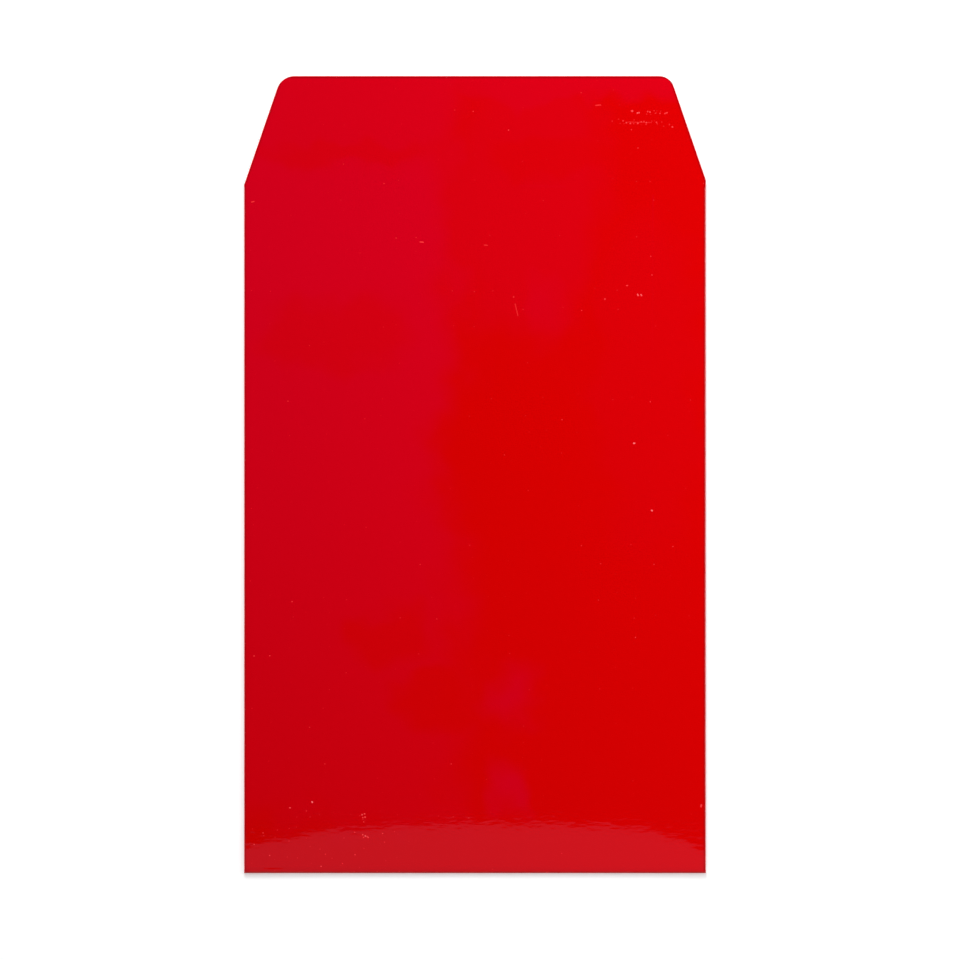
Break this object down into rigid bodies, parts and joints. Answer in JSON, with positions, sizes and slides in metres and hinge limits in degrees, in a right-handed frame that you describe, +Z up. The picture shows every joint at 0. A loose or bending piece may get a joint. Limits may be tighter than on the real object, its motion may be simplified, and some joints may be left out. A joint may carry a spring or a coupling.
{
  "type": "cardboard mailing envelope",
  "caption": "Red gloss cardboard mailing envelope, flat and empty, with a glued-seam pocket and a tapered peel-and-seal closure flap that folds over the back.",
  "frame": {"origin": "under the middle of the whole outline, flap included, on the outer face of the back panel", "axes": "+X across the envelope, +Y from the bottom fold to the tip of the open flap, +Z up through the front panel"},
  "size_m": [0.1528, 0.2638, 0.0014],
  "materials": {
    "red_gloss_board": "gloss",
    "seam_glue": "satin",
    "closure_adhesive": "gloss",
    "release_paper": "satin"
  },
  "bodies": {
    "envelope": {"front_panel": "red_gloss_board", "back_panel": "red_gloss_board", "bottom_fold": "red_gloss_board", "left_side_fold": "red_gloss_board", "right_side_fold": "red_gloss_board", "left_seam_tab": "red_gloss_board", "right_seam_tab": "red_gloss_board", "left_inner_glue_line": "seam_glue", "left_outer_glue_line": "seam_glue", "right_inner_glue_line": "seam_glue", "right_outer_glue_line": "seam_glue", "flap_crease": "red_gloss_board"},
    "flap": {"closure_flap": "red_gloss_board", "flap_adhesive_strip": "closure_adhesive"},
    "liner": {"release_liner": "release_paper"}
  },
  "joints": [
    {"name": "flap_fold", "type": "hinge", "parent": "envelope", "child": "flap", "pos_m": [0, 0.0967, 0.0004], "axis": [-1, 0, 0], "range_deg": [0, 179.5], "deforming": ["flap_crease"]},
    {"name": "liner_peel", "type": "slide", "parent": "flap", "child": "liner", "axis": [-1, 0, 0], "range_m": [0, 0.14]}
  ]
}
